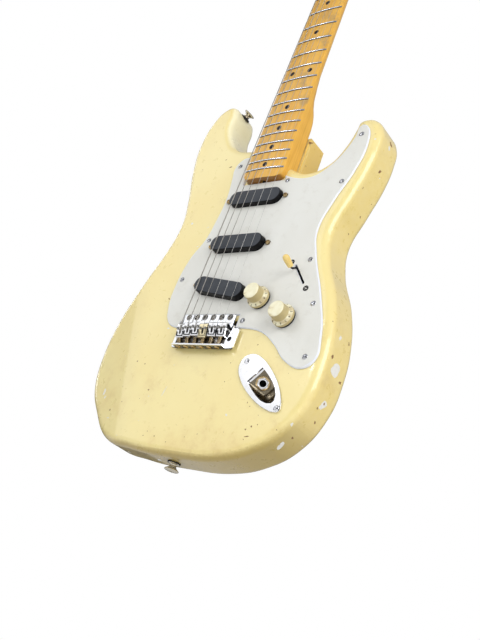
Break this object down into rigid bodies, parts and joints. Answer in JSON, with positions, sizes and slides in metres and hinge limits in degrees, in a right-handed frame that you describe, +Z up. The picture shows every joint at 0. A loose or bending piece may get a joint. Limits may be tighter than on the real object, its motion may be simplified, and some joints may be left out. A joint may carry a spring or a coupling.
{
  "type": "electric guitar",
  "caption": "Solid-body electric guitar with a double-cutaway body, bolt-on maple neck, covered pickups and a spring-loaded tremolo bridge.",
  "frame": {"origin": "middle of the body's bottom edge, in the body's mid-plane, where the guitar rests on a stand", "axes": "+Z up along the neck towards the headstock, +X towards the treble side, +Y out of the back, so the front faces -Y"},
  "size_m": [0.3135, 0.0687, 0.9875],
  "materials": {
    "lacquer": "glossy aged cream-yellow lacquer over wood, chipped at the edges",
    "maple": "gloss amber-tinted maple",
    "guard": "aged white vinyl sheet, low gloss",
    "black": "black moulded plastic, satin",
    "cream": "aged cream moulded plastic",
    "amber": "amber moulded plastic",
    "chrome": "polished chrome plate",
    "steel": "plain steel, dull",
    "nickel": "aged nickel plate, slightly yellowed",
    "bone": "polished bone",
    "winding": "plain and wound steel wire"
  },
  "bodies": {
    "guitar_body": {"body": "lacquer", "neck": "maple", "truss_rod": "steel", "spring_claw": "steel", "selector_switch": "steel", "volume_pot": "steel", "tone_pot": "steel", "tremolo_spring_1": "steel", "tremolo_spring_2": "steel", "tremolo_spring_3": "steel", "nut": "bone", "string_tree": "nickel", "output_jack": "nickel", "strap_button_lower": "nickel", "strap_button_upper": "nickel", "tuner_housing_1": "nickel", "tuner_housing_2": "nickel", "tuner_housing_3": "nickel", "tuner_housing_4": "nickel", "tuner_housing_5": "nickel", "tuner_housing_6": "nickel", "neck_plate": "chrome", "jack_plate": "chrome", "pickguard": "guard", "tremolo_cover": "guard", "pickup_neck": "black", "pickup_middle": "black", "pickup_bridge": "black"},
    "tremolo": {"bridge_plate": "chrome", "tremolo_block": "steel", "saddle_1": "chrome", "saddle_2": "chrome", "saddle_3": "chrome", "saddle_4": "chrome", "saddle_5": "chrome", "saddle_6": "chrome"},
    "strings": {"string_1": "winding", "string_2": "winding", "string_3": "winding", "string_4": "winding", "string_5": "winding", "string_6": "winding"},
    "volume_control": {"volume_knob": "cream", "volume_shaft": "steel"},
    "tone_control": {"tone_knob": "cream", "tone_shaft": "steel"},
    "selector": {"selector_lever": "steel", "selector_tip": "amber"},
    "tuner_key_1": {"tuner_button_1": "nickel"},
    "string_post_1": {"tuner_post_1": "nickel"},
    "tuner_key_2": {"tuner_button_2": "nickel"},
    "string_post_2": {"tuner_post_2": "nickel"},
    "tuner_key_3": {"tuner_button_3": "nickel"},
    "string_post_3": {"tuner_post_3": "nickel"},
    "tuner_key_4": {"tuner_button_4": "nickel"},
    "string_post_4": {"tuner_post_4": "nickel"},
    "tuner_key_5": {"tuner_button_5": "nickel"},
    "string_post_5": {"tuner_post_5": "nickel"},
    "tuner_key_6": {"tuner_button_6": "nickel"},
    "string_post_6": {"tuner_post_6": "nickel"}
  },
  "joints": [
    {"name": "tremolo_tilt", "type": "hinge", "parent": "guitar_body", "child": "tremolo", "pos_m": [0, -0.02583, 0.1475], "axis": [-1, 0, 0], "range_deg": [-3, 10], "stiffness_Nm_per_rad": 25, "deforming": ["tremolo_spring_1", "tremolo_spring_2", "tremolo_spring_3"]},
    {"name": "strings_follow", "type": "hinge", "parent": "guitar_body", "child": "strings", "pos_m": [0, -0.03268, 0.7909], "axis": [-1, 0, 0], "range_deg": [-0.3, 0.3]},
    {"name": "volume_turn", "type": "hinge", "parent": "guitar_body", "child": "volume_control", "pos_m": [0.0575, -0.03222, 0.169], "axis": [0, 1, 0], "range_deg": [-290, 0]},
    {"name": "tone_turn", "type": "hinge", "parent": "guitar_body", "child": "tone_control", "pos_m": [0.096, -0.03222, 0.1479], "axis": [0, 1, 0], "range_deg": [-290, 0]},
    {"name": "selector_swing", "type": "hinge", "parent": "guitar_body", "child": "selector", "pos_m": [0.0945, 0.00477, 0.197], "axis": [0.7848, 0, 0.6198], "range_deg": [0, 36]},
    {"name": "tuner_key_1_turn", "type": "hinge", "parent": "guitar_body", "child": "tuner_key_1", "pos_m": [-0.02108, -0.00632, 0.8245], "axis": [-0.9638, 0, 0.2667], "continuous": true},
    {"name": "string_post_1_turn", "type": "hinge", "parent": "guitar_body", "child": "string_post_1", "pos_m": [-0.02108, -0.01082, 0.8245], "axis": [0, -1, 0], "continuous": true},
    {"name": "tuner_key_2_turn", "type": "hinge", "parent": "guitar_body", "child": "tuner_key_2", "pos_m": [-0.01383, -0.00632, 0.8495], "axis": [-0.9638, 0, 0.2667], "continuous": true},
    {"name": "string_post_2_turn", "type": "hinge", "parent": "guitar_body", "child": "string_post_2", "pos_m": [-0.01383, -0.01082, 0.8495], "axis": [0, -1, 0], "continuous": true},
    {"name": "tuner_key_3_turn", "type": "hinge", "parent": "guitar_body", "child": "tuner_key_3", "pos_m": [-0.00691, -0.00632, 0.8745], "axis": [-0.9638, 0, 0.2667], "continuous": true},
    {"name": "string_post_3_turn", "type": "hinge", "parent": "guitar_body", "child": "string_post_3", "pos_m": [-0.00691, -0.01082, 0.8745], "axis": [0, -1, 0], "continuous": true},
    {"name": "tuner_key_4_turn", "type": "hinge", "parent": "guitar_body", "child": "tuner_key_4", "pos_m": [-0.00031, -0.00632, 0.8995], "axis": [-0.9638, 0, 0.2667], "continuous": true},
    {"name": "string_post_4_turn", "type": "hinge", "parent": "guitar_body", "child": "string_post_4", "pos_m": [-0.00031, -0.01082, 0.8995], "axis": [0, -1, 0], "continuous": true},
    {"name": "tuner_key_5_turn", "type": "hinge", "parent": "guitar_body", "child": "tuner_key_5", "pos_m": [0.00588, -0.00632, 0.9245], "axis": [-0.9638, 0, 0.2667], "continuous": true},
    {"name": "string_post_5_turn", "type": "hinge", "parent": "guitar_body", "child": "string_post_5", "pos_m": [0.00588, -0.01082, 0.9245], "axis": [0, -1, 0], "continuous": true},
    {"name": "tuner_key_6_turn", "type": "hinge", "parent": "guitar_body", "child": "tuner_key_6", "pos_m": [0.01176, -0.00632, 0.9495], "axis": [-0.9638, 0, 0.2667], "continuous": true},
    {"name": "string_post_6_turn", "type": "hinge", "parent": "guitar_body", "child": "string_post_6", "pos_m": [0.01176, -0.01082, 0.9495], "axis": [0, -1, 0], "continuous": true}
  ],
  "couplings": [
    {"joint": "strings_follow", "follows": "tremolo_tilt", "ratio": 0.0185},
    {"joint": "string_post_1_turn", "follows": "tuner_key_1_turn", "ratio": 0.071429},
    {"joint": "string_post_2_turn", "follows": "tuner_key_2_turn", "ratio": 0.071429},
    {"joint": "string_post_3_turn", "follows": "tuner_key_3_turn", "ratio": 0.071429},
    {"joint": "string_post_4_turn", "follows": "tuner_key_4_turn", "ratio": 0.071429},
    {"joint": "string_post_5_turn", "follows": "tuner_key_5_turn", "ratio": 0.071429},
    {"joint": "string_post_6_turn", "follows": "tuner_key_6_turn", "ratio": 0.071429}
  ]
}
